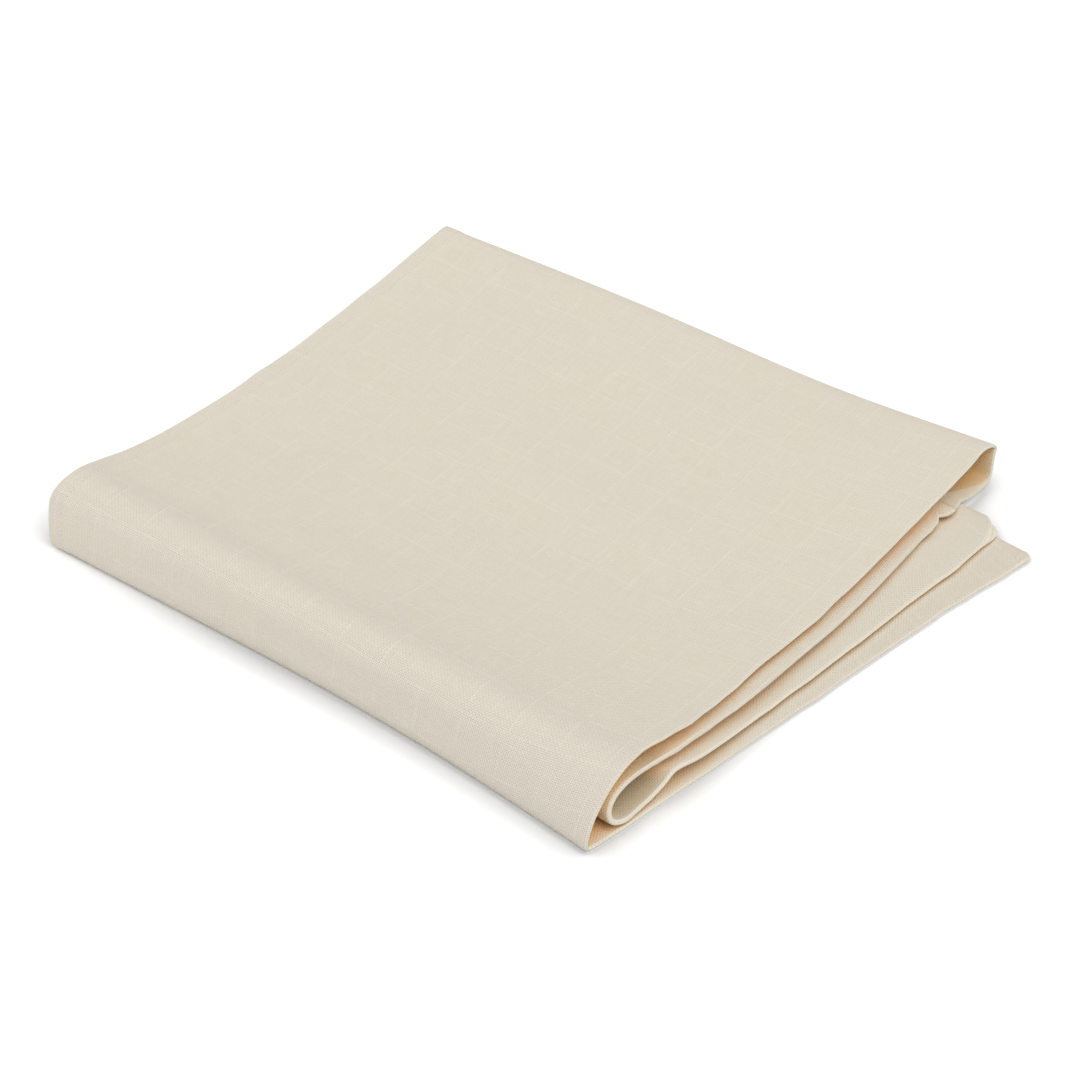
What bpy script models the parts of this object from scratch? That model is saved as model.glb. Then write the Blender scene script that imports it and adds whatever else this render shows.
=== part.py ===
"""Swaddle blanket: one square of thin cotton muslin, folded and lying flat.

The square is first folded in four across its width (X), which makes a pressed
pad of four plies about 2 mm thick, and the pad is then folded over and over
along its length (Y).  The solid is that pad as one sheet:

    run E   lies on the surface, its hemmed end free at +Y
    fold F1 tall round fold at -Y, from run E up to the top run
    run L1  the top of the parcel
    fold F2 open, tube-like fold at +Y
    run L2  second layer, hanging between F2 and F3
    fold F3 low teardrop fold just inside F1
    run C   inner end of the cloth, free at +Y, a little above run E

Every row of SECTIONS is one line across the pad.  The surface is the loft
through all rows, given thickness by Solidify.
Units are metres, +Z is up, the origin is the middle of the underside box.
"""
import bpy
import bmesh
import numpy as np

# ---- driving dimensions -------------------------------------------------
PAD_THICKNESS = 0.0020      # four pressed plies
LAYER_Z = PAD_THICKNESS / 2  # middle of the pad where it lies on the surface
COLUMNS_ACROSS = 15         # lines of points across X
ORIGIN_MM = (-148.23, 145.48)   # middle of the footprint in the table's axes
CLOTH_COLOUR = (0.730, 0.672, 0.570, 1.0)
CLOTH_ROUGHNESS = 0.92

# One row for each line across the pad, from the outer free end to the inner
# one: x, y, z at the left (-X) edge, x, y, z at the right (+X) edge, all in
# millimetres from the front right corner, and the steps up to the next row.
SECTION_COLUMNS = ("name", "xl", "yl", "zl", "xr", "yr", "zr", "steps")
SECTIONS = (
    # run E: flat on the surface
    ("E end",       -271.0,  270.0,  1.0,   20.4,  259.6,  1.0, 3),
    ("E row 1",     -277.0,  205.0,  1.0,   14.1,  198.0,  1.0, 3),
    ("E row 2",     -281.0,  140.0,  1.0,    9.8,  134.0,  1.0, 3),
    ("E row 3",     -285.5,   80.0,  1.0,    6.0,   74.0,  1.0, 3),
    ("E front",     -289.0,   22.0,  1.0,    2.2,   15.0,  1.0, 3),
    # fold F1: tall and round at the left, steep at the right corner
    ("F1 toe",      -289.5,    2.0,  1.0,    0.9,    1.4,  1.0, 2),
    ("F1 knee",     -289.8,   -1.7,  2.6,    0.6,   -0.5,  2.6, 3),
    ("F1 belly",    -289.6,   -2.4, 13.0,    0.7,    2.6, 12.0, 3),
    ("F1 brow",     -288.6,   -1.4, 26.0,    1.2,    7.2, 19.4, 2),
    ("F1 over",     -287.2,    3.6, 31.8,    1.4,   14.0, 25.6, 2),
    ("F1 crest",    -286.4,   12.2, 33.8,    1.9,   25.5, 30.0, 3),
    ("F1 back",     -287.4,   25.0, 31.0,    2.0,   37.5, 29.8, 2),
    # run L1: the top, turned a few degrees against run E
    ("L1 front",    -288.4,   40.5, 27.2,    1.3,   51.3, 26.8, 3),
    ("L1 row 1",    -292.6,   77.9, 21.2,   -2.0,   77.8, 21.6, 3),
    ("L1 row 2",    -296.1,  115.2, 18.8,   -6.1,  111.8, 18.4, 3),
    ("L1 row 3",    -301.4,  156.0, 17.6,   -9.4,  151.2, 16.6, 3),
    ("L1 row 4",    -306.0,  194.2, 17.4,  -14.0,  194.3, 16.0, 3),
    ("L1 row 5",    -310.7,  229.8, 19.0,  -19.0,  238.0, 17.6, 2),
    ("L1 back",     -313.6,  252.9, 20.8,  -21.7,  270.2, 21.2, 2),
    # fold F2: open tube along the back
    ("F2 top",      -315.0,  264.0, 21.4,  -23.2,  286.6, 23.0, 2),
    ("F2 rim",      -316.3,  269.6, 19.8,  -22.9,  293.4, 20.2, 2),
    ("F2 out",      -316.8,  271.2, 15.2,  -22.5,  291.4, 15.6, 2),
    ("F2 low",      -316.8,  270.0, 11.0,  -21.9,  289.6,  8.6, 1),
    ("F2 corner",   -316.2,  267.4,  9.3,  -21.5,  287.9,  6.2, 1),
    ("F2 under",    -315.4,  263.6,  8.6,  -21.1,  281.0,  5.0, 2),
    # run L2: second layer, stepping up on to the inner end
    ("F2 floor",    -314.8,  259.4,  8.3,  -20.8,  272.0,  5.2, 1),
    ("L2 step",     -314.2,  256.2,  8.1,  -19.7,  264.2,  7.0, 1),
    ("L2 lip",      -313.4,  252.4,  8.0,  -18.1,  256.2,  8.0, 1),
    ("L2 back",     -312.2,  246.5,  7.9,  -17.9,  249.0,  8.2, 2),
    ("L2 row 1",    -308.6,  224.0,  7.8,  -16.0,  228.0,  8.4, 4),
    ("L2 row 2",    -300.6,  178.0,  8.0,   -8.6,  180.8, 10.1, 4),
    ("L2 row 3",    -294.6,  128.0,  8.8,   -3.1,  125.1, 12.3, 4),
    ("L2 row 4",    -290.4,   82.0, 10.6,   -0.4,   77.2, 14.8, 3),
    ("L2 front",    -287.6,   50.0, 13.2,    0.5,   46.9, 17.8, 2),
    # fold F3: low teardrop inside F1
    ("F3 top",      -286.2,   31.0, 15.4,    0.2,   28.5, 19.5, 2),
    ("F3 over",     -286.4,   19.4, 14.6,    0.2,   18.6, 17.8, 2),
    ("F3 nose",     -286.6,   14.2, 10.4,    0.8,   12.6, 11.6, 2),
    ("F3 low",      -287.0,   15.6,  6.2,    1.3,   13.8,  6.6, 2),
    ("F3 under",    -287.2,   23.0,  4.2,    2.8,   20.6,  4.2, 2),
    # run C: inner end, riding up a little behind the fold
    ("C front",     -287.2,   34.0,  4.0,    2.2,   32.0,  4.6, 2),
    ("C rise",      -287.3,   44.0,  4.0,    2.4,   42.0,  7.0, 2),
    ("C hump",      -287.4,   56.0,  4.0,    2.8,   49.5, 10.6, 2),
    ("C crown",     -287.5,   74.0,  4.0,    3.3,   63.4,  8.9, 2),
    ("C row 1",     -287.6,  118.0,  4.0,    2.6,  100.9,  5.4, 3),
    ("C row 2",     -287.8,  164.0,  4.0,    2.3,  152.1,  4.6, 3),
    ("C row 3",     -287.9,  212.0,  4.0,    2.1,  207.1,  4.2, 3),
    ("C back",      -288.0,  250.0,  4.0,    2.2,  247.6,  4.1, 2),
    ("C end",       -288.0,  262.0,  4.2,    0.3,  264.1,  4.2, 0),
)
# Rows that are bent in the middle: first row, last row, how softly the bend
# starts and stops along the pad, and how far the middle moves in y and z.
BOW_COLUMNS = ("first", "last", "soft", "y", "z")
BOWS = (
    ("E front",  "F1 belly", 30.0, 5.4,  0.0),
    ("L1 front", "L1 row 2", 45.0, 0.0, -2.6),
)
# Soft hollows: the row they lie on, mm past it, place across (0 left, 1
# right), half-length across, half-width along, and depth.
HOLLOW_COLUMNS = ("row", "past", "place", "half_length", "half_width", "depth")
HOLLOWS = (
    ("F2 top",    0.0, 0.72,  75.0, 26.0, 4.5),
    ("L1 row 3", 10.0, 0.50, 170.0, 60.0, 0.5),
)
PAD_WIDTH_MM = 293.0


def monotone_slopes(t, p):
    """Slopes for a shape-keeping cubic through the points p at parameters t."""
    h = np.diff(t)[:, None]
    d = np.diff(p, axis=0) / h
    m = np.zeros_like(p)
    w1 = 2 * h[1:] + h[:-1]
    w2 = h[1:] + 2 * h[:-1]
    same = d[:-1] * d[1:] > 0
    with np.errstate(divide="ignore", invalid="ignore"):
        inner = (w1 + w2) / (w1 / d[:-1] + w2 / d[1:])
    m[1:-1] = np.where(same, inner, 0.0)
    m[0], m[-1] = d[0], d[-1]
    return m


def loft_lines(table):
    """Left and right edge curves, sampled row by row with each row's steps."""
    left = np.array([row[1:4] for row in table], float)
    right = np.array([row[4:7] for row in table], float)
    ends = np.hstack([left, right])
    run = np.linalg.norm(np.diff((left + right) / 2, axis=0), axis=1)
    t = np.concatenate([[0.0], np.cumsum(run)])
    m = monotone_slopes(t, ends)
    out, where = [], []
    for i, row in enumerate(table[:-1]):
        h = t[i + 1] - t[i]
        for k in range(row[7]):
            s = k / row[7]
            a = (2 * s**3 - 3 * s**2 + 1) * ends[i] + (s**3 - 2 * s**2 + s) * h * m[i]
            b = (-2 * s**3 + 3 * s**2) * ends[i + 1] + (s**3 - s**2) * h * m[i + 1]
            out.append(a + b)
            where.append(t[i] + s * h)
    out.append(ends[-1])
    where.append(t[-1])
    return np.array(out), np.array(where), t


def ease(t, lo, hi, soft):
    """1 between lo and hi, easing to 0 over soft on both sides."""
    a = np.clip((t - lo + soft) / soft, 0.0, 1.0)
    b = np.clip((hi + soft - t) / soft, 0.0, 1.0)
    return a * a * (3 - 2 * a) * b * b * (3 - 2 * b)


def unevenness(where, place, t):
    """How far a point of the pad is moved in y and z by bows and hollows."""
    at = dict(zip([row[0] for row in SECTIONS], t))
    dy = dz = 0.0
    middle = np.sin(np.pi * place ** 1.3)
    for first, last, soft, by, bz in BOWS:
        w = ease(where, at[first], at[last], soft) * middle
        dy += by * w
        dz += bz * w
    for row, past, centre, length, width, depth in HOLLOWS:
        across = (place - centre) * PAD_WIDTH_MM / length
        along = (where - at[row] - past) / width
        dz -= depth * np.exp(-across ** 2 - along ** 2)
    return dy, dz


def build_blanket(collection):
    edges, where, t = loft_lines(SECTIONS)
    bm = bmesh.new()
    grid = []
    for line, along in zip(edges, where):
        row = []
        for c in range(COLUMNS_ACROSS):
            u = c / (COLUMNS_ACROSS - 1)
            x, y, z = line[:3] * (1 - u) + line[3:] * u
            dy, dz = unevenness(along, u, t)
            y, z = y + dy, z + dz
            row.append(bm.verts.new(((x - ORIGIN_MM[0]) * 0.001,
                                     (y - ORIGIN_MM[1]) * 0.001,
                                     z * 0.001)))
        grid.append(row)
    for a, b in zip(grid[:-1], grid[1:]):
        for c in range(COLUMNS_ACROSS - 1):
            bm.faces.new((a[c], b[c], b[c + 1], a[c + 1]))
    mesh = bpy.data.meshes.new("blanket")
    bm.to_mesh(mesh)
    bm.free()
    mesh.shade_smooth()

    obj = bpy.data.objects.new("blanket", mesh)
    collection.objects.link(obj)
    pad = obj.modifiers.new("pad thickness", "SOLIDIFY")
    pad.thickness = PAD_THICKNESS
    pad.offset = 0.0
    pad.use_even_offset = False
    pad.use_rim = True
    return obj


def muslin_material():
    mat = bpy.data.materials.new("cream muslin")
    mat.use_nodes = True
    shader = mat.node_tree.nodes["Principled BSDF"]
    shader.inputs["Base Color"].default_value = CLOTH_COLOUR
    shader.inputs["Roughness"].default_value = CLOTH_ROUGHNESS
    shader.inputs["Metallic"].default_value = 0.0
    mat.diffuse_color = CLOTH_COLOUR
    return mat


def main():
    for obj in list(bpy.data.objects):
        bpy.data.objects.remove(obj, do_unlink=True)
    collection = bpy.data.collections.new("swaddle_blanket")
    bpy.context.scene.collection.children.link(collection)
    blanket = build_blanket(collection)
    blanket.data.materials.append(muslin_material())


main()
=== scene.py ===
import math
import bpy
import bmesh
import numpy as np
from mathutils import Matrix, Vector


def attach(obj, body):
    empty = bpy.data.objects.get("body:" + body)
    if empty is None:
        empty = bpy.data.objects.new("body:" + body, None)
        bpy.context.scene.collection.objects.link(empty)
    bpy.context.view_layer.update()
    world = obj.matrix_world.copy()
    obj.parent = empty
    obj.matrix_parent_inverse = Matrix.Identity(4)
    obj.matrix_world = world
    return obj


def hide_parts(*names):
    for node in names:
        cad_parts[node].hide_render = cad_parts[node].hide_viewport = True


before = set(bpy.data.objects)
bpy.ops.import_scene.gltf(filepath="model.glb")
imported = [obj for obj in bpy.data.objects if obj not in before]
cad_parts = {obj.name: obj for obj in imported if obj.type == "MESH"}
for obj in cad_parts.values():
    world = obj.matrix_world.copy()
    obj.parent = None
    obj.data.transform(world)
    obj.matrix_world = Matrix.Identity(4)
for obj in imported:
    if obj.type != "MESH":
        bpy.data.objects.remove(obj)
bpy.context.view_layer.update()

MM = 0.001

# =========================================================================
# 1. The folded pad as a surface: one row for each line across it.
#    x, y, z at the left edge and at the right edge, in mm from the front
#    right corner, then the steps up to the next row.
# =========================================================================
ORIGIN = np.array([-148.23, 145.48, 0.0])
SECTIONS = (
    ("E end",       -271.0,  270.0,  1.0,   20.4,  259.6,  1.0, 9),
    ("E row 1",     -277.0,  205.0,  1.0,   14.1,  198.0,  1.0, 9),
    ("E row 2",     -281.0,  140.0,  1.0,    9.8,  134.0,  1.0, 9),
    ("E row 3",     -285.5,   80.0,  1.0,    6.0,   74.0,  1.0, 9),
    ("E front",     -289.0,   22.0,  1.0,    2.2,   15.0,  1.0, 6),
    ("F1 toe",      -289.5,    2.0,  1.0,    0.9,    1.4,  1.0, 3),
    ("F1 knee",     -289.8,   -1.7,  2.6,    0.6,   -0.5,  2.6, 4),
    ("F1 belly",    -289.6,   -2.4, 13.0,    0.7,    2.6, 12.0, 6),
    ("F1 brow",     -288.6,   -1.4, 26.0,    1.2,    7.2, 19.4, 5),
    ("F1 over",     -287.2,    3.6, 31.8,    1.4,   14.0, 25.6, 5),
    ("F1 crest",      -286.4,   12.2, 33.8,    1.3,   25.5, 30.0, 5),
    ("F1 back",       -287.4,   25.0, 31.0,    1.0,   37.5, 29.8, 5),
    ("L1 front",      -288.4,   40.5, 27.2,    0.4,   51.3, 26.8, 8),
    ("L1 row 1",      -292.6,   77.9, 21.2,   -2.5,   77.8, 21.6, 8),
    ("L1 row 2",      -296.1,  115.2, 18.8,   -6.5,  111.8, 18.4, 9),
    ("L1 row 3",      -301.4,  156.0, 17.6,   -9.6,  151.2, 16.6, 9),
    ("L1 row 4",      -306.0,  194.2, 17.4,  -14.3,  194.3, 16.0, 9),
    ("L1 row 5",      -310.7,  229.8, 19.0,  -19.2,  238.0, 17.6, 7),
    ("L1 back",     -313.6,  252.9, 20.8,  -21.7,  270.2, 21.2, 5),
    ("F2 top",      -315.0,  264.0, 21.4,  -23.2,  286.6, 23.0, 5),
    ("F2 rim",      -316.3,  269.6, 19.8,  -22.9,  293.4, 20.2, 4),
    ("F2 out",      -316.8,  271.2, 15.2,  -22.5,  291.4, 15.6, 4),
    ("F2 low",      -316.8,  270.0, 11.0,  -21.9,  289.6,  8.6, 3),
    ("F2 corner",   -316.2,  267.4,  9.3,  -21.5,  287.9,  6.2, 3),
    ("F2 under",    -315.4,  263.6,  8.6,  -21.1,  281.0,  5.0, 4),
    ("F2 floor",    -314.8,  259.4,  8.3,  -20.8,  272.0,  5.2, 4),
    ("L2 step",     -314.2,  256.2,  8.1,  -19.7,  264.2,  7.0, 4),
    ("L2 lip",      -313.4,  252.4,  8.0,  -18.1,  256.2,  8.0, 4),
    ("L2 back",     -312.2,  246.5,  7.9,  -17.9,  249.0,  8.2, 6),
    ("L2 row 1",      -308.6,  224.0,  7.8,  -15.2,  228.0,  8.4, 8),
    ("L2 row 2",      -300.6,  178.0,  8.0,   -7.8,  180.8, 10.1, 9),
    ("L2 row 3",      -294.6,  128.0,  8.8,   -2.5,  125.1, 12.3, 8),
    ("L2 row 4",      -290.4,   82.0, 10.6,    0.2,   77.2, 14.8, 6),
    ("L2 front",    -287.6,   50.0, 13.2,    0.5,   46.9, 17.8, 5),
    ("F3 top",      -286.2,   31.0, 15.4,    0.2,   28.5, 19.5, 4),
    ("F3 over",     -286.4,   19.4, 14.6,    0.2,   18.6, 17.8, 4),
    ("F3 nose",     -286.6,   14.2, 10.4,    0.8,   12.6, 11.6, 3),
    ("F3 low",      -287.0,   15.6,  6.2,    1.3,   13.8,  6.6, 4),
    ("F3 under",    -287.2,   23.0,  4.2,    2.8,   20.6,  4.2, 4),
    ("C front",     -287.2,   34.0,  4.0,    2.2,   32.0,  4.6, 4),
    ("C rise",      -287.3,   44.0,  4.0,    2.4,   42.0,  7.0, 4),
    ("C hump",      -287.4,   56.0,  4.0,    2.8,   49.5, 10.6, 4),
    ("C crown",       -287.5,   74.0,  4.0,    3.9,   63.4,  8.9, 5),
    ("C row 1",       -287.6,  118.0,  4.0,    2.9,  100.9,  5.4, 8),
    ("C row 2",       -287.8,  164.0,  4.0,    3.4,  152.1,  4.6, 9),
    ("C row 3",       -287.9,  212.0,  4.0,    3.2,  207.1,  4.2, 7),
    ("C back",        -288.0,  250.0,  4.0,    3.1,  247.6,  4.1, 6),
    ("C end",       -288.0,  262.0,  4.2,    0.3,  264.1,  4.2, 0),
)
NAMES = [row[0] for row in SECTIONS]


def monotone_slopes(t, p):
    h = np.diff(t)[:, None]
    d = np.diff(p, axis=0) / h
    m = np.zeros_like(p)
    w1 = 2 * h[1:] + h[:-1]
    w2 = h[1:] + 2 * h[:-1]
    same = d[:-1] * d[1:] > 0
    with np.errstate(divide="ignore", invalid="ignore"):
        inner = (w1 + w2) / (w1 / d[:-1] + w2 / d[1:])
    m[1:-1] = np.where(same, inner, 0.0)
    m[0], m[-1] = d[0], d[-1]
    return m


LEFT = np.array([row[1:4] for row in SECTIONS], float)
RIGHT = np.array([row[4:7] for row in SECTIONS], float)
KNOTS = np.concatenate([[0.0], np.cumsum(np.linalg.norm(np.diff((LEFT + RIGHT) / 2, axis=0), axis=1))])
T = dict(zip(NAMES, KNOTS))
T_END = KNOTS[-1]

# the two edge curves, sampled every 0.5 mm and eased with a small blur
EASE = 1.3            # mm, how softly the folds turn
FINE = np.arange(0.0, T_END + 0.25, 0.5)


def eased_edges():
    ends = np.hstack([LEFT, RIGHT])
    m = monotone_slopes(KNOTS, ends)
    i = np.clip(np.searchsorted(KNOTS, FINE, side="right") - 1, 0, len(KNOTS) - 2)
    h = KNOTS[i + 1] - KNOTS[i]
    s = np.clip((FINE - KNOTS[i]) / h, 0, 1)[:, None]
    h = h[:, None]
    p = ((2 * s**3 - 3 * s**2 + 1) * ends[i] + (s**3 - 2 * s**2 + s) * h * m[i]
         + (-2 * s**3 + 3 * s**2) * ends[i + 1] + (s**3 - s**2) * h * m[i + 1])
    reach = 12
    k = np.exp(-0.5 * (np.arange(-reach, reach + 1) * 0.5 / EASE) ** 2)
    k /= k.sum()
    # the ends carry on straight, so that the blur doesn't pull them in
    head = p[0] + (p[0] - p[1]) * np.arange(reach, 0, -1)[:, None]
    tail = p[-1] + (p[-1] - p[-2]) * np.arange(1, reach + 1)[:, None]
    q = np.vstack([head, p, tail])
    return np.stack([np.convolve(q[:, c], k, mode="valid") for c in range(6)], axis=1)


EDGES = eased_edges()


def edge_points(t):
    out = np.empty(np.shape(t) + (6,))
    for c in range(6):
        out[..., c] = np.interp(t, FINE, EDGES[:, c])
    below = np.minimum(t, 0.0)[..., None]
    above = np.maximum(t - T_END, 0.0)[..., None]
    out += below * (EDGES[4] - EDGES[0]) / 2.0 + above * (EDGES[-1] - EDGES[-5]) / 2.0
    return out


def bump1(t, lo, hi, soft):
    """1 between lo and hi, easing to 0 over soft on both sides."""
    a = np.clip((t - lo + soft) / soft, 0, 1)
    b = np.clip((hi + soft - t) / soft, 0, 1)
    a = a * a * (3 - 2 * a)
    b = b * b * (3 - 2 * b)
    return a * b


# =========================================================================
# 2. Unevenness, in mm
# =========================================================================
# bows: rows that are bent in the middle, from row, to row, how softly they
# start and stop along the pad, and how far they bend in y and z
BOWS = (
    ("E front", "F1 belly", 30.0,  5.4,  0.0),
    ("L1 front", "L1 row 2", 45.0, 0.0, -2.6),
)
# nicks in the side edges: side, row, mm past it, half-length along the edge,
# out (+x away from the pad) and up, and how far in they reach
NICKS = (
    ("right", "F1 crest",   15.0,  4.0,  0.4,  0.0,  9.0),
    ("right", "L1 front",  -21.0,  4.5, -0.5,  0.0,  8.0),
    ("right", "L1 front",   -7.5,  4.5,  0.5,  0.0,  8.0),
    ("right", "L1 front",   11.0,  8.0,  0.8,  0.2, 14.0),
    ("right", "L1 row 1",    0.5,  6.0,  0.4,  0.2, 12.0),
    ("right", "L1 row 1",   16.0,  5.0,  0.5,  0.2, 12.0),
    ("right", "L1 row 2",    1.5,  9.0, -0.5, -0.2, 14.0),
    ("right", "L1 row 3",    1.5,  7.0,  0.6,  0.3, 14.0),
    ("right", "L1 row 3",   15.0,  4.0, -0.3, -0.1,  9.0),
    ("right", "L1 row 4",    6.0,  5.0, -0.2,  0.0,  9.0),
    ("right", "L1 row 5",   -5.0,  5.0,  0.3,  0.1, 10.0),
    ("right", "L1 row 5",   15.0,  7.0,  0.4,  0.2, 12.0),
    ("right", "L1 back",    11.0,  4.0, -0.4,  0.0, 10.0),
    ("right", "L2 lip",      0.5,  2.6,  1.2,  0.0, 10.0),
    ("right", "L2 step",    -1.0,  2.2, -0.8,  0.0,  8.0),
    ("right", "L2 back",     0.3,  2.0, -2.2,  0.0,  8.0),
    ("right", "L2 row 1",  -11.4,  3.0,  0.8,  0.5, 14.0),
    ("right", "L2 row 1",   -2.4,  4.0, -0.4, -0.3,  9.0),
    ("right", "L2 row 2",   20.0, 12.0,  0.4,  0.3, 16.0),
    ("right", "L2 row 2",   45.0,  7.0, -0.3, -0.2, 12.0),
    ("right", "L2 row 3",   22.0, 11.0,  0.3,  0.2, 14.0),
    ("right", "L2 row 3",   44.0,  5.0, -0.5, -0.2, 10.0),
    ("right", "L2 row 4",   25.0,  4.0,  0.7,  0.2, 10.0),
    ("right", "C row 1",     7.0,  4.0,  0.4,  0.2, 12.0),
    ("right", "C row 1",    18.0,  5.0, -0.3, -0.2, 12.0),
    ("right", "C row 1",    29.0,  5.0,  0.4,  0.3, 14.0),
    ("right", "C row 2",    13.0,  6.0,  0.4,  0.2, 14.0),
    ("right", "C row 2",    41.0,  8.0, -0.4, -0.2, 14.0),
    ("right", "C row 3",    20.0,  7.0,  0.9,  0.4, 16.0),
    ("right", "E end",      20.0,  6.0,  0.4,  0.0, 12.0),
    ("right", "E end",      33.0,  4.0, -0.3,  0.0, 10.0),
    ("right", "E end",      54.0,  6.0, -0.7,  0.0, 14.0),
    ("right", "E row 2",     6.0,  7.0,  0.6,  0.0, 14.0),
    ("right", "E row 3",     8.0,  8.0,  0.4,  0.0, 14.0),
    ("left",  "L1 row 2",   10.0,  9.0,  0.4,  0.3, 20.0),
    ("left",  "L1 row 3",    0.0, 12.0, -0.4, -0.2, 20.0),
    ("left",  "L1 row 4",    8.0, 10.0,  0.4,  0.3, 20.0),
    ("left",  "L2 row 2",    0.0, 16.0, -0.8, -0.4, 24.0),
    ("left",  "C row 1",    10.0, 14.0,  0.9,  0.0, 24.0),
    ("left",  "C row 3",     0.0, 10.0, -0.8,  0.0, 20.0),
    ("left",  "E row 2",     0.0, 18.0,  0.9,  0.0, 24.0),
)
# soft bends, troughs (-) and ridges (+): row it is near, mm past that row,
# place across (0 left, 1 right), half-length, half-width, turn in degrees
# from the X direction, and how far it moves the pad in y and z
BENDS = (
    ("F2 top",     0.0, 0.72,  75.0, 26.0,   0.0,  0.0, -4.5),
    ("L1 row 3",  10.0, 0.50, 170.0, 60.0,   8.0,  0.0, -0.5),
    ("L1 row 4",  20.0, 0.25,  70.0, 22.0,  35.0,  0.0,  0.5),
    ("L1 row 1",  12.0, 0.62,  90.0, 26.0, -20.0,  0.0,  0.45),
    ("L1 row 5",   8.0, 0.70,  80.0, 16.0,   6.0,  0.0,  0.45),
    ("L1 row 2",   5.0, 0.18,  50.0, 20.0,  60.0,  0.0, -0.5),
    ("L1 front",   4.0, 0.35,  60.0, 12.0,   4.0,  0.0,  0.5),
    ("L1 row 5",  12.0, 0.12,  35.0, 14.0, -35.0,  0.0, -0.6),
    ("L2 row 2",   0.0, 0.80,  60.0, 25.0,  20.0,  0.0, -0.8),
    ("C row 2",    0.0, 0.85,  60.0, 20.0,  15.0,  0.0,  0.6),
    ("L2 lip",     0.0, 1.00,  28.0,  2.4, -10.0,  0.0,  1.0),
    ("L2 step",    0.5, 1.00,  22.0,  2.6, -10.0,  0.0, -0.5),
)
WIDTH = 293.0   # mm, the pad's width


def surface(t, u):
    """The middle of the pad, in mm, at t along it and u across it."""
    e = edge_points(t)
    uu = u[..., None]
    p = e[..., :3] * (1 - uu) + e[..., 3:] * uu
    bend = np.sin(np.pi * np.clip(u, 0, 1) ** 1.3)
    for a, b, soft, by, bz in BOWS:
        g = bump1(t, T[a], T[b], soft) * bend
        p[..., 1] += by * g
        p[..., 2] += bz * g
    for side, name, past, half, out, up, reach in NICKS:
        dist = (1 - u) * WIDTH if side == "right" else u * WIDTH
        g = np.exp(-((t - T[name] - past) / half) ** 2 - (dist / reach) ** 1.5)
        p[..., 0] += g * (out if side == "right" else -out)
        p[..., 2] += g * up
    for name, past, place, half, width, turn, by, bz in BENDS:
        c, s = math.cos(math.radians(turn)), math.sin(math.radians(turn))
        du = (u - place) * WIDTH
        dt = t - (T[name] + past)
        g = np.exp(-((du * c + dt * s) / half) ** 2 - ((-du * s + dt * c) / width) ** 2)
        p[..., 1] += by * g
        p[..., 2] += bz * g
    return p


def frame_at(t, u):
    """Point, direction across and outward (+n) direction of the pad."""
    p = surface(t, u)
    pt = surface(t + 0.6, u) - surface(t - 0.6, u)
    pu = surface(t, np.clip(u + 0.002, 0, 1)) - surface(t, np.clip(u - 0.002, 0, 1))
    n = np.cross(pt, pu)
    n /= np.linalg.norm(n, axis=-1, keepdims=True)
    pu /= np.linalg.norm(pu, axis=-1, keepdims=True)
    return p, pu, n


# =========================================================================
# 3. The cloth: a square folded in four across X, so that the pad is four
#    plies.  The path runs from the first hem on the left, out and back
#    four times, to the second hem on the left.
# =========================================================================
PLY = 0.30            # mm, one ply
HEM = 0.50            # mm, the turned hem
HEM_GAP = 0.17        # mm more between plies at a hem
# how closely the plies lie together along the pad: row, mm between plies
LOOSENESS = (
    ("E end", 0.42), ("E front", 0.42), ("F1 belly", 0.40), ("L1 front", 0.37),
    ("F2 rim", 0.37), ("L2 back", 0.42), ("L2 row 4", 0.54), ("F3 top", 0.70),
    ("F3 low", 0.72), ("C hump", 0.60), ("C row 1", 0.50), ("C end", 0.50),
)
# right-hand corner of the inner end: the plies above are turned in, the
# ones below lie straight: mm from the end, mm in above, mm in below
CORNER_C = (
    (-3.0, 8.2, 2.4), (0.0, 7.0, 1.6), (0.4, 5.8, 0.9), (1.4, 4.3, -0.5), (2.9, 3.1, -1.0), (5.0, 2.5, -0.9),
    (8.0, 1.7, -0.2), (12.0, 0.8, 0.4), (17.0, 0.2, 0.5), (22.0, 0.0, 0.3), (30.0, 0.0, 0.0),
)
# and of the outer end: mm from the end, mm in
CORNER_E = ((0.0, 2.6), (0.3, 1.5), (0.8, 0.8), (1.5, 0.3), (2.6, 0.0), (9.0, 0.0))


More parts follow.
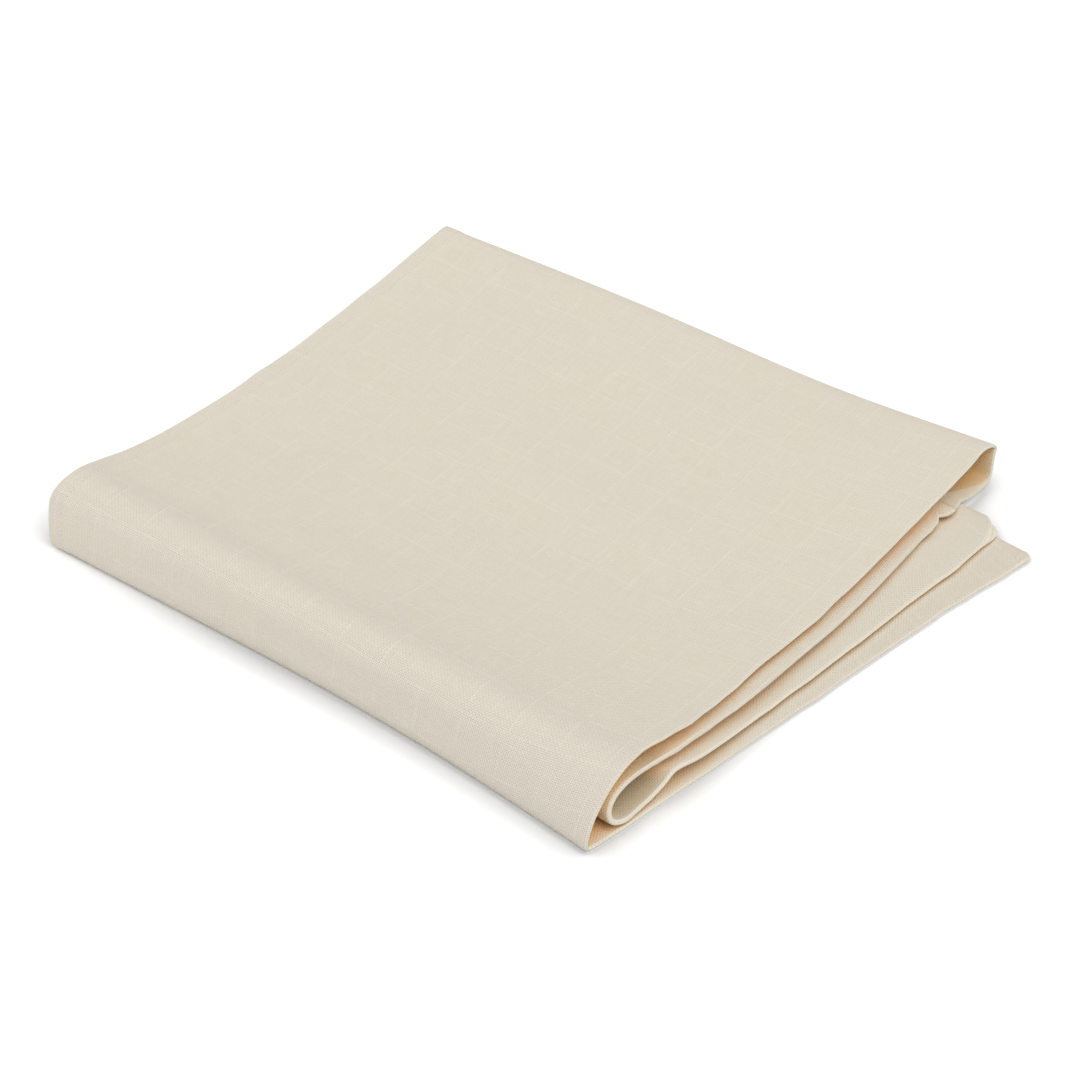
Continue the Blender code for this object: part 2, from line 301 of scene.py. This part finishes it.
def ply_path():
    """Rows of (u, extra mm across, offset in pitches from the middle, a mm)."""
    rows = []

    def us(n, near_left, near_right):
        base = np.linspace(0, 1, n + 1)
        # a little denser towards both side edges
        base = base - 0.07 * np.sin(2 * np.pi * base)
        return base

    w = WIDTH
    hem_u = np.array([0.0, 0.6, 4.0, 7.6, 8.4, 9.4, 13.0]) / w
    right_u = 1 - np.array([13.0, 9.0, 5.5, 3.2, 1.6]) / w

    def run(n):
        b = us(n, 0, 0)
        b = b[(b > 15.0 / w) & (b < 1 - 15.0 / w)]
        return b

    # ply 1, outward to the right, offset -1.5
    u1 = np.concatenate([hem_u, run(44), right_u])
    for u in u1:
        rows.append((u, 0.0, -1.5, u * w))
    # outer fold at the right
    for k in range(0, 9):
        th = -math.pi / 2 + math.pi * k / 8
        rows.append((1.0, -0.75 + 0.75 * math.cos(th), 1.5 * math.sin(th), w + 2.0 * (k / 8 - 0.5)))
    # ply 4, back to the left, offset +1.5
    u4 = np.concatenate([hem_u, run(44), right_u])[::-1]
    for u in u4[:-1]:
        rows.append((u, 0.0, 1.5, 2 * w - u * w))
    # crease at the left, offset +1.5 to +0.5
    for k in range(0, 6):
        th = math.pi / 2 - math.pi * k / 5
        rows.append((0.0, 0.6 - 0.5 * math.cos(th), 1.0 + 0.5 * math.sin(th), 2 * w + 1.0 * (k / 5 - 0.5)))
    # ply 3, to the right again, offset +0.5
    b = us(15, 0, 0)
    b = b[(b > 15.0 / w) & (b < 1 - 15.0 / w)]
    u3 = np.concatenate([[4.0 / w, 9.0 / w], b, 1 - np.array([10.0, 5.0, 2.2]) / w])
    for u in u3:
        rows.append((u, 0.0, 0.5, 2 * w + u * w))
    # inner fold at the right
    for k in range(0, 6):
        th = math.pi / 2 - math.pi * k / 5
        rows.append((1.0, -1.25 + 0.25 * math.cos(th), 0.5 * math.sin(th), 3 * w + 0.8 * (k / 5 - 0.5)))
    # ply 2, back to the second hem, offset -0.5
    u2 = np.concatenate([hem_u, b, 1 - np.array([10.0, 5.0, 2.2]) / w])[::-1]
    for u in u2:
        rows.append((u, 2.6 * (1 - min(u * w / 40.0, 1.0)), -0.5, 4 * w - u * w))
    return np.array(rows)


def length_samples():
    ts = []
    for i, row in enumerate(SECTIONS[:-1]):
        for k in range(row[7]):
            ts.append(KNOTS[i] + (KNOTS[i + 1] - KNOTS[i]) * k / row[7])
    ts.append(T_END)
    ts = np.array(ts)
    # more lines near both ends, for the hems and the corners
    near_end = [0.3, 0.8, 1.5, 2.6, 4.4, 7.6, 8.4, 9.4]
    extra = near_end + [T_END - x for x in near_end + [6.0, 12.0, 14.5, 17.0, 20.0]]
    ts = np.unique(np.round(np.concatenate([ts, extra]), 4))
    keep = [ts[0]]
    for x in ts[1:]:
        if x - keep[-1] > 0.25:
            keep.append(x)
    return np.array(keep)


PATH = ply_path()
TS = length_samples()


def build_cloth():
    u = PATH[:, 0][None, :]
    extra = PATH[:, 1][None, :]
    off = PATH[:, 2][None, :]
    a = PATH[:, 3][None, :]
    t = TS[:, None]
    # at the inner free end the plies have slipped past each other
    end = np.clip((t - (T_END - 70.0)) / 70.0, 0, 1) ** 2
    tt = t - off * 1.3 * end
    tt, uu = np.broadcast_arrays(tt, u)
    p, pu, n = frame_at(tt, uu)
    a = np.broadcast_to(a, tt.shape)
    # hems are thicker, so the plies stand further apart there
    total_a = PATH[:, 3].max()
    side = np.clip(1 - (uu * WIDTH - 7.0) / 4.0, 0, 1)
    ends = np.maximum(np.clip(1 - (t - 7.0) / 4.0, 0, 1), np.clip(1 - (T_END - t - 7.0) / 4.0, 0, 1))
    loose = np.maximum(side, ends)
    pitch = np.interp(t, [T[r[0]] for r in LOOSENESS], [r[1] for r in LOOSENESS]) + HEM_GAP * loose
    # turned-in corners
    c = np.array(CORNER_C)
    d = T_END - t
    above, below = np.interp(d, c[:, 0], c[:, 1]), np.interp(d, c[:, 0], c[:, 2])
    w = np.clip((off + 0.5) / 1.1, 0, 1)
    w = w * w * (3 - 2 * w)
    c = np.array(CORNER_E)
    inset = above * (1 - w) + below * w + np.interp(t, c[:, 0], c[:, 1])
    reach = np.clip(1 - (1 - uu) * WIDTH / 42.0, 0, 1)
    extra = extra - inset * reach * reach * (3 - 2 * reach)
    q = p + extra[..., None] * pu + (off * pitch)[..., None] * n
    # the underside lies on the surface
    hem_here = np.maximum(ends * np.ones_like(a), ((a < 9.0) | (a > total_a - 9.0)) * 1.0)
    half = 0.5 * (PLY + (HEM - PLY) * hem_here)
    q[..., 2] += np.maximum(half - q[..., 2], 0.0)
    return q, a, t, hem_here


WEFT_SKEW = 19.5      # mm, how far the weft has run off at the left edge
WEFT_BOW = 14.2       # mm, and at the right edge
WARP_SKEW = 0.017     # mm a mm


def cloth_mesh():
    q, a, t, hem = build_cloth()
    rows, cols = q.shape[:2]
    # length along the cloth at each line across, measured on the surface
    step = np.linalg.norm(np.diff(q, axis=0), axis=-1)
    b = np.vstack([np.zeros((1, cols)), np.cumsum(step, axis=0)])
    verts = ((q - ORIGIN) * MM).reshape(-1, 3)
    idx = np.arange(rows * cols).reshape(rows, cols)
    f = np.stack([idx[:-1, :-1], idx[1:, :-1], idx[1:, 1:], idx[:-1, 1:]], axis=-1).reshape(-1, 4)
    mesh = bpy.data.meshes.new("muslin_blanket")
    mesh.from_pydata(verts.tolist(), [], f.tolist())
    uv = mesh.uv_layers.new(name="cloth")
    flat = np.stack([np.broadcast_to(a, b.shape), b], axis=-1).reshape(-1, 2) * MM
    loops = np.empty(len(mesh.loops), dtype=np.int32)
    mesh.loops.foreach_get("vertex_index", loops)
    uv.data.foreach_set("uv", flat[loops].astype(np.float32).ravel())
    # where the threads run: the weft is a little askew and bowed
    across = np.minimum(PATH[:, 0], 1.0) * WIDTH
    skew = WEFT_SKEW * np.clip(1 - across / 185.0, 0, 1) + WEFT_BOW * np.clip((across - 222.0) / 71.0, 0, 1) ** 1.9
    thread = mesh.uv_layers.new(name="weave")
    wb = b - skew[None, :]
    wa = np.broadcast_to(a, b.shape) + WARP_SKEW * (b - 398.0)
    flat = np.stack([wa, wb], axis=-1).reshape(-1, 2) * MM
    thread.data.foreach_set("uv", flat[loops].astype(np.float32).ravel())
    rows_uv = mesh.uv_layers.new(name="rows")
    flat = np.stack([np.broadcast_to(across[None, :], b.shape), np.broadcast_to(t, b.shape)], axis=-1).reshape(-1, 2) * MM
    rows_uv.data.foreach_set("uv", flat[loops].astype(np.float32).ravel())
    mesh.uv_layers.active = uv
    obj = bpy.data.objects.new("muslin_blanket", mesh)
    bpy.context.scene.collection.objects.link(obj)
    group = obj.vertex_groups.new(name="hem")
    hv = hem.reshape(-1)
    plain = [int(i) for i in np.nonzero(hv <= 0.01)[0]]
    group.add(plain, 0.0, "REPLACE")
    for w in (0.25, 0.5, 0.75, 1.0):
        sel = np.nonzero((hv > w - 0.24) & (hv <= w + 0.01))[0]
        if len(sel):
            group.add([int(i) for i in sel], w, "REPLACE")
    solid = obj.modifiers.new("ply", "SOLIDIFY")
    solid.thickness = HEM * MM
    solid.offset = 0.0
    solid.vertex_group = "hem"
    solid.thickness_vertex_group = PLY / HEM
    solid.use_rim = True
    bpy.context.view_layer.objects.active = obj
    obj.select_set(True)
    bpy.ops.object.modifier_apply(modifier="ply")
    obj.select_set(False)
    for poly in obj.data.polygons:
        poly.use_smooth = True
    obj.data.set_sharp_from_angle(angle=math.radians(65))
    return obj, float(b.max()), float(PATH[:, 3].max())


# =========================================================================
# 4. Material
# =========================================================================
def link(tree, a, b):
    tree.links.new(a, b)


class Nodes:
    def __init__(self, tree):
        self.t = tree

    def math(self, op, a, b=None, c=None, clamp=False):
        n = self.t.nodes.new("ShaderNodeMath")
        n.operation = op
        n.use_clamp = clamp
        for i, v in enumerate((a, b, c)):
            if v is None:
                continue
            if isinstance(v, (int, float)):
                n.inputs[i].default_value = v
            else:
                self.t.links.new(v, n.inputs[i])
        return n.outputs[0]

    def smooth(self, v, lo, hi, out_lo=0.0, out_hi=1.0):
        n = self.t.nodes.new("ShaderNodeMapRange")
        n.interpolation_type = "SMOOTHSTEP"
        self.t.links.new(v, n.inputs[0])
        for i, x in zip((1, 2, 3, 4), (lo, hi, out_lo, out_hi)):
            n.inputs[i].default_value = x
        return n.outputs[0]

    def band(self, v, lo, hi, soft):
        """1 between lo and hi, 0 outside."""
        return self.math("MULTIPLY", self.smooth(v, lo - soft, lo + soft),
                         self.smooth(v, hi - soft, hi + soft, 1.0, 0.0))

    def vec(self, x, y, z=0.0):
        n = self.t.nodes.new("ShaderNodeCombineXYZ")
        for i, v in enumerate((x, y, z)):
            if isinstance(v, (int, float)):
                n.inputs[i].default_value = v
            else:
                self.t.links.new(v, n.inputs[i])
        return n.outputs[0]

    def noise(self, vector, scale, detail=2.0, rough=0.5):
        n = self.t.nodes.new("ShaderNodeTexNoise")
        n.inputs["Scale"].default_value = scale
        n.inputs["Detail"].default_value = detail
        n.inputs["Roughness"].default_value = rough
        self.t.links.new(vector, n.inputs["Vector"])
        return n.outputs["Fac"]

    def mix(self, fac, a, b):
        n = self.t.nodes.new("ShaderNodeMix")
        n.data_type = "RGBA"
        if isinstance(fac, (int, float)):
            n.inputs["Factor"].default_value = fac
        else:
            self.t.links.new(fac, n.inputs["Factor"])
        for name, v in (("A", a), ("B", b)):
            s = [i for i in n.inputs if i.name == name and i.type == "RGBA"][0]
            if isinstance(v, tuple):
                s.default_value = v
            else:
                self.t.links.new(v, s)
        return [o for o in n.outputs if o.type == "RGBA"][0]


THREAD = 0.00088      # m, thread to thread
CELL_A = 0.02172      # m, windowpane pitch across
CELL_B = 0.01913      # m, windowpane pitch along
PHASE_A = -0.0020
PHASE_B = -0.0153
CREAM = (0.606, 0.563, 0.478, 1.0)
CREAM_WARM = (0.614, 0.562, 0.467, 1.0)
CREAM_DEEP = (0.490, 0.431, 0.338, 1.0)
CREAM_LIGHT = (0.655, 0.616, 0.532, 1.0)
# painted shade: the thread gaps go darker deep in the folds
PAINTED_FOLD_GAP_SHADE = (0.340, 0.205, 0.090, 1.0)
PAINTED_EDGE_SHADE = (0.560, 0.400, 0.240, 1.0)   # painted shade just under the edge of the layer above, and in the crease at the lip
PAINTED_FOLD_TAN = (0.820, 0.440, 0.125, 1.0)    # painted shade and warm light deep in the folds, in place of light that has passed through the cloth
PAINTED_LIGHT_CREAM = (0.700, 0.652, 0.540, 1.0)  # painted light on the runs, standing in for light that comes through the layer above
# painted shade on the tube's inner wall
TUBE_WALL_PAINTED_SHADE = (0.600, 0.380, 0.150, 1.0)
# painted light on the sheet along the tube's floor
TUBE_SHEET_PAINTED_LIGHT = (0.645, 0.570, 0.425, 1.0)
# painted shade inside the teardrop hollow
HOLLOW_PAINTED_SHADE = (0.480, 0.375, 0.228, 1.0)
# painted shade in the hollow's thread gaps
HOLLOW_GAP_PAINTED_SHADE = (0.300, 0.228, 0.132, 1.0)
RUN_FLOOR_PAINTED_SHADE = (0.560, 0.500, 0.400, 1.0)   # painted shade: the lowest run gets a little less light
FACE_GAP = (0.400, 0.352, 0.285, 1.0)
FACE_PAINTED_SHADE = (0.577, 0.531, 0.453, 1.0)   # painted shade: the front fold is a touch darker towards its outer end, and its crest all along
# painted shade on the lower runs, deep inside
LOW_RUN_PAINTED_SHADE = (0.520, 0.425, 0.285, 1.0)


def muslin(total_a, total_b, marks):
    """marks: where the named rows lie along the folds, in m."""
    mat = bpy.data.materials.new("muslin weave")
    mat.use_nodes = True
    t = mat.node_tree
    n = Nodes(t)
    shader = t.nodes["Principled BSDF"]
    uv = t.nodes.new("ShaderNodeUVMap")
    uv.uv_map = "weave"
    sep = t.nodes.new("ShaderNodeSeparateXYZ")
    link(t, uv.outputs[0], sep.inputs[0])
    a, b = sep.outputs[0], sep.outputs[1]

    # how deep in the folds a point lies: 0 in the open, 1 deep inside
    deep = t.nodes.new("ShaderNodeAmbientOcclusion")
    deep.only_local = True
    deep.samples = 8
    deep.inputs["Distance"].default_value = 0.040
    inside = n.smooth(deep.outputs["AO"], 0.08, 0.60, 1.0, 0.0)
    under = t.nodes.new("ShaderNodeAmbientOcclusion")
    under.only_local = True
    under.samples = 8
    under.inputs["Distance"].default_value = 0.010
    # painted shade goes where this short-reach occlusion is strong, just under an upper layer's edge
    shade_under_edge = n.smooth(under.outputs["AO"], 0.10, 0.62, 1.0, 0.0)

    # threads wander a little
    wander = n.noise(uv.outputs[0], 60.0, 2.0)
    wa = n.math("ADD", a, n.math("MULTIPLY", n.math("SUBTRACT", wander, 0.5), 0.0006))
    wander2 = n.noise(n.vec(b, a, 0.37), 55.0, 2.0)
    wb = n.math("ADD", b, n.math("MULTIPLY", n.math("SUBTRACT", wander2, 0.5), 0.0006))

    sa = n.math("SINE", n.math("MULTIPLY", wa, math.pi / THREAD))
    sb = n.math("SINE", n.math("MULTIPLY", wb, math.pi / THREAD))
    over = n.math("MULTIPLY", sa, sb)                 # -1..1, over and under
    ga = n.math("ABSOLUTE", sa)
    gb = n.math("ABSOLUTE", sb)
    fill = n.math("MULTIPLY", n.math("POWER", ga, 0.5), n.math("POWER", gb, 0.5))

    # windowpane: a thick thread each way in every cell
    def pane(coord, cell, phase, other):
        m = n.math("PINGPONG", n.math("ADD", coord, phase), cell / 2)   # 0 on a line
        line = n.smooth(m, 0.00020, 0.00075, 1.0, 0.0)
        uneven = n.noise(n.vec(other, n.math("MULTIPLY", coord, 0.35), 0.0), 140.0, 2.0)
        return n.math("MULTIPLY", line, n.smooth(uneven, 0.30, 0.66, 0.15, 1.0))

    pa = pane(wa, CELL_A, PHASE_A, b)
    pb = pane(wb, CELL_B, PHASE_B, a)
    panes = n.math("MAXIMUM", pa, pb)

    # slubs: thicker stretches of single threads, each way
    slub_a = n.noise(n.vec(n.math("MULTIPLY", a, 1.0 / THREAD), n.math("MULTIPLY", b, 70.0), 0.0), 1.0, 1.0)
    slub_b = n.noise(n.vec(n.math("MULTIPLY", a, 70.0), n.math("MULTIPLY", b, 1.0 / THREAD), 3.1), 1.0, 1.0)
    slubs = n.math("SUBTRACT", n.math("ADD", slub_a, slub_b), 1.0)

    # which fold a point belongs to
    folds = t.nodes.new("ShaderNodeUVMap")
    folds.uv_map = "rows"
    sep = t.nodes.new("ShaderNodeSeparateXYZ")
    link(t, folds.outputs[0], sep.inputs[0])
    r = sep.outputs[1]
    inward = n.math("SUBTRACT", WIDTH * MM, sep.outputs[0])      # from the outer fold
    slant = n.math("SUBTRACT", r, n.math("MULTIPLY", inward, 1.65))
    turn = marks["F2 corner"] + 0.0010
    back = n.smooth(r, marks["L1 back"] - 0.001, marks["L1 back"] + 0.001)
    wall = n.math("MULTIPLY", back, n.smooth(slant, turn - 0.0009, turn + 0.0009, 1.0, 0.0))
    sheet = n.math("MULTIPLY", n.smooth(slant, turn - 0.0009, turn + 0.0009),
                   n.smooth(r, marks["L2 back"] - 0.002, marks["L2 back"] + 0.002, 1.0, 0.0))
    lip = n.math("ABSOLUTE", n.math("SUBTRACT", r, marks["L2 lip"] - 0.0012))
    lip = n.math("MULTIPLY", n.smooth(lip, 0.0002, 0.0011, 1.0, 0.0), n.smooth(inward, 0.009, 0.020, 1.0, 0.0))
    face = n.band(r, marks["E front"], marks["F1 over"], 0.004)
    crest = n.band(r, marks["F1 brow"], marks["F1 back"], 0.007)
    # painted shade on the front fold and its crest, strongest towards the outer end
    face_shade_mask = n.math("MULTIPLY", n.math("MAXIMUM", face, crest), n.smooth(inward, 0.0, 0.300, 0.95, 0.0))
    face_shade_mask = n.math("MAXIMUM", face_shade_mask, n.math("MULTIPLY", crest, 0.85))
    lowest = n.smooth(r, marks["E row 3"], marks["E front"], 1.0, 0.0)
    teardrop = n.band(r, marks["L2 front"], marks["C crown"], 0.006)

    tone = n.noise(uv.outputs[0], 26.0, 3.0)

    c = n.mix(n.smooth(tone, 0.3, 0.7), CREAM, CREAM_WARM)
    # painted shade on the front fold
    c = n.mix(face_shade_mask, c, FACE_PAINTED_SHADE)
    # painted shade on the lowest run
    c = n.mix(n.math("MULTIPLY", lowest, 0.55), c, RUN_FLOOR_PAINTED_SHADE)
    gaps = n.smooth(fill, 0.05, 0.60, 1.0, 0.0)
    c = n.mix(n.math("MULTIPLY", gaps, 0.95), c, CREAM_DEEP)
    c = n.mix(n.math("MULTIPLY", n.smooth(slubs, 0.0, 0.35), 0.26), c, CREAM_LIGHT)
    c = n.mix(n.math("MULTIPLY", n.smooth(slubs, -0.35, -0.05, 1.0, 0.0), 0.14), c, CREAM_DEEP)
    c = n.mix(n.math("MULTIPLY", panes, 0.32), c, CREAM_LIGHT)

    # the hems are measured from the cut edges
    cut = t.nodes.new("ShaderNodeUVMap")
    cut.uv_map = "cloth"
    sep = t.nodes.new("ShaderNodeSeparateXYZ")
    link(t, cut.outputs[0], sep.inputs[0])
    a, b = sep.outputs[0], sep.outputs[1]

    # hem: a stitched line near each cut edge
    def edge_dist(coord, total):
        return n.math("MINIMUM", coord, n.math("SUBTRACT", total, coord))
    da = edge_dist(a, total_a)
    db = edge_dist(b, total_b)

    def stitch(d, along):
        off = n.math("ABSOLUTE", n.math("SUBTRACT", d, 0.0072))
        line = n.smooth(off, 0.00015, 0.0006, 1.0, 0.0)
        dash = n.math("PINGPONG", along, 0.0011)
        return line, n.math("MULTIPLY", line, n.smooth(dash, 0.00022, 0.00045))
    la, sta = stitch(da, b)
    lb, stb = stitch(db, a)
    stitches = n.math("MAXIMUM", sta, stb)
    groove = n.math("MAXIMUM", la, lb)
    c = n.mix(n.math("MULTIPLY", groove, 0.25), c, CREAM_DEEP)
    c = n.mix(n.math("MULTIPLY", stitches, 0.35), c, CREAM_LIGHT)
    c = n.mix(n.math("MULTIPLY", n.math("MULTIPLY", gaps, face), 0.75), c, FACE_GAP)
    # painted light: partly covered runs are brightened, as if light came through the cloth above
    c = n.mix(n.smooth(deep.outputs["AO"], 0.58, 0.95, 1.0, 0.0), c, PAINTED_LIGHT_CREAM)
    # painted shade: deep in the folds the light has come through the cloth, and is warmer, so the colour goes a
    # warm tan
    c = n.mix(n.math("MULTIPLY", inside, 0.95), c, PAINTED_FOLD_TAN)
    # painted shade in the thread gaps deep in the folds
    c = n.mix(n.math("MULTIPLY", gaps, inside), c, PAINTED_FOLD_GAP_SHADE)
    # painted shade: a tan band just under the edge of the layer above
    c = n.mix(n.math("MULTIPLY", shade_under_edge, 0.75), c, PAINTED_EDGE_SHADE)
    # painted shade: the lower runs are darker where they lie deep inside
    low_runs = n.math("MAXIMUM", lowest, n.smooth(r, marks["C crown"], marks["C row 1"]))
    c = n.mix(n.math("MULTIPLY", n.math("MULTIPLY", low_runs, inside), 0.55), c, LOW_RUN_PAINTED_SHADE)
    hidden = n.smooth(deep.outputs["AO"], 0.42, 0.64, 1.0, 0.0)
    roomy = n.math("MULTIPLY", hidden, n.smooth(under.outputs["AO"], 0.68, 0.84))
    # painted shade: the hidden wall inside the tube goes tan
    c = n.mix(n.math("MULTIPLY", n.math("MULTIPLY", wall, hidden), 0.85), c, TUBE_WALL_PAINTED_SHADE)
    # painted light: where the tube's floor sheet has room it is lighter than the painted tan
    c = n.mix(n.math("MULTIPLY", n.math("MULTIPLY", sheet, roomy), 0.85), c, TUBE_SHEET_PAINTED_LIGHT)
    cave = n.math("MULTIPLY", teardrop, roomy)
    # painted shade in the crease along the lip
    c = n.mix(n.math("MULTIPLY", lip, 0.55), c, PAINTED_EDGE_SHADE)
    # painted shade inside the teardrop hollow, darker still in the thread gaps
    c = n.mix(n.math("MULTIPLY", cave, 0.90), c, HOLLOW_PAINTED_SHADE)
    c = n.mix(n.math("MULTIPLY", cave, gaps), c, HOLLOW_GAP_PAINTED_SHADE)
    link(t, c, shader.inputs["Base Color"])

    shader.inputs["Roughness"].default_value = 0.92
    shader.inputs["Specular IOR Level"].default_value = 0.18
    shader.inputs["Sheen Weight"].default_value = 0.12
    shader.inputs["Sheen Roughness"].default_value = 0.6

    h = n.math("MULTIPLY", over, n.math("MULTIPLY", fill, 0.35))
    h = n.math("ADD", h, n.math("MULTIPLY", fill, 0.55))
    h = n.math("ADD", h, n.math("MULTIPLY", slubs, 0.25))
    h = n.math("ADD", h, n.math("MULTIPLY", panes, 0.38))
    h = n.math("SUBTRACT", h, n.math("MULTIPLY", groove, 0.6))
    h = n.math("ADD", h, n.math("MULTIPLY", stitches, 0.7))
    h = n.math("SUBTRACT", h, n.math("MULTIPLY", lip, 1.2))
    crinkle = n.noise(uv.outputs[0], 150.0, 3.0)
    h = n.math("ADD", h, n.math("MULTIPLY", crinkle, 0.8))
    bump = t.nodes.new("ShaderNodeBump")
    bump.inputs["Strength"].default_value = 1.0
    bump.inputs["Distance"].default_value = 0.00022
    link(t, h, bump.inputs["Height"])
    link(t, bump.outputs[0], shader.inputs["Normal"])
    return mat


cloth, TOTAL_B, TOTAL_A = cloth_mesh()
cloth.data.materials.clear()
cloth.data.materials.append(muslin(TOTAL_A * MM, TOTAL_B * MM, {k: v * MM for k, v in T.items()}))
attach(cloth, "root")
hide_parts("blanket")

# =========================================================================
# 5. Floor, light and camera
# =========================================================================
floor_mesh = bpy.data.meshes.new("floor")
bm = bmesh.new()
bmesh.ops.create_grid(bm, x_segments=8, y_segments=8, size=6.0)
bm.to_mesh(floor_mesh)
bm.free()
floor = bpy.data.objects.new("floor", floor_mesh)
floor.location = (0, 0, -0.0001)
bpy.context.scene.collection.objects.link(floor)
fmat = bpy.data.materials.new("white floor")
fmat.use_nodes = True
fs = fmat.node_tree.nodes["Principled BSDF"]
fn = Nodes(fmat.node_tree)
# painted contact shadow on the floor: darker where the cloth occludes it, faded out towards the pad's left end
near = fmat.node_tree.nodes.new("ShaderNodeAmbientOcclusion")
near.samples = 8
near.inputs["Distance"].default_value = 0.018
place = fmat.node_tree.nodes.new("ShaderNodeTexCoord")
px = fmat.node_tree.nodes.new("ShaderNodeSeparateXYZ")
link(fmat.node_tree, place.outputs["Object"], px.inputs[0])
edge_x = -290.0 * MM - ORIGIN[0] * MM
fade = fn.smooth(px.outputs[0], edge_x - 0.030, edge_x + 0.130)
contact = fn.smooth(near.outputs["AO"], 0.34, 0.48, 1.0, 0.0)   # right under the fold it is dark anyway
shade = fn.math("SUBTRACT", 1.0, fn.math("MULTIPLY", fade, fn.math("SUBTRACT", 1.0, fn.math("MAXIMUM", contact, fn.math("MAXIMUM", near.outputs["AO"], 0.60)))))
# the painted shadow, slightly green, is mixed into the white floor
link(fmat.node_tree, fn.mix(shade, (0.0, 0.004, 0.0, 1.0), (0.95, 0.953, 0.95, 1.0)), fs.inputs["Base Color"])
fs.inputs["Roughness"].default_value = 0.9
fs.inputs["Specular IOR Level"].default_value = 0.1
floor.data.materials.append(fmat)

world = bpy.data.worlds.new("studio")
bpy.context.scene.world = world
world.use_nodes = True
bg = world.node_tree.nodes["Background"]
bg.inputs[0].default_value = (1.0, 1.0, 1.0, 1.0)
bg.inputs[1].default_value = 0.745


def soft_light(name, azimuth, elevation, strength, spread, colour=(1, 1, 1)):
    """A far, wide studio light: azimuth 0 is from +X, 90 from +Y."""
    data = bpy.data.lights.new(name, "SUN")
    data.energy = strength * math.pi
    data.angle = math.radians(spread)
    data.color = colour
    obj = bpy.data.objects.new(name, data)
    az, el = math.radians(azimuth), math.radians(elevation)
    d = Vector((-math.cos(az) * math.cos(el), -math.sin(az) * math.cos(el), -math.sin(el)))
    obj.rotation_euler = d.to_track_quat("-Z", "Y").to_euler()
    bpy.context.scene.collection.objects.link(obj)
    return obj


soft_light("key_right", -14.0, 54.0, 0.61, 45.0)
soft_light("fill_front", -100.0, 10.0, 0.22, 50.0, (0.97, 1.0, 1.10))

CAM_ELEV, CAM_AZ, CAM_F = 36.5941, 41.2471, 3500.0
CAM_POS = Vector((0.63080, -0.74533, 0.86997)) - Vector(ORIGIN) * MM
cam_data = bpy.data.cameras.new("camera")
cam_data.sensor_fit = "HORIZONTAL"
cam_data.sensor_width = 36.0
cam_data.lens = CAM_F / 1080.0 * 36.0
cam_data.clip_start = 0.05
cam_data.clip_end = 50.0
cam = bpy.data.objects.new("camera", cam_data)
e, az = math.radians(CAM_ELEV), math.radians(CAM_AZ)
right = Vector((math.cos(az), math.sin(az), 0))
fwd = Vector((-math.sin(az) * math.cos(e), math.cos(az) * math.cos(e), -math.sin(e)))
up = right.cross(fwd)
cam.matrix_world = Matrix(((right.x, up.x, -fwd.x, CAM_POS.x),
                           (right.y, up.y, -fwd.y, CAM_POS.y),
                           (right.z, up.z, -fwd.z, CAM_POS.z),
                           (0, 0, 0, 1)))
bpy.context.scene.collection.objects.link(cam)
bpy.context.scene.camera = cam
bpy.context.scene.view_settings.view_transform = "Standard"
bpy.context.scene.view_settings.look = "None"

bpy.context.view_layer.update()


def plain(box):
    return [[float(v) for v in corner] for corner in box]


print("cloth", len(cloth.data.polygons), "faces, flat", TOTAL_A, TOTAL_B, "rows", len(TS), "cols", len(PATH))
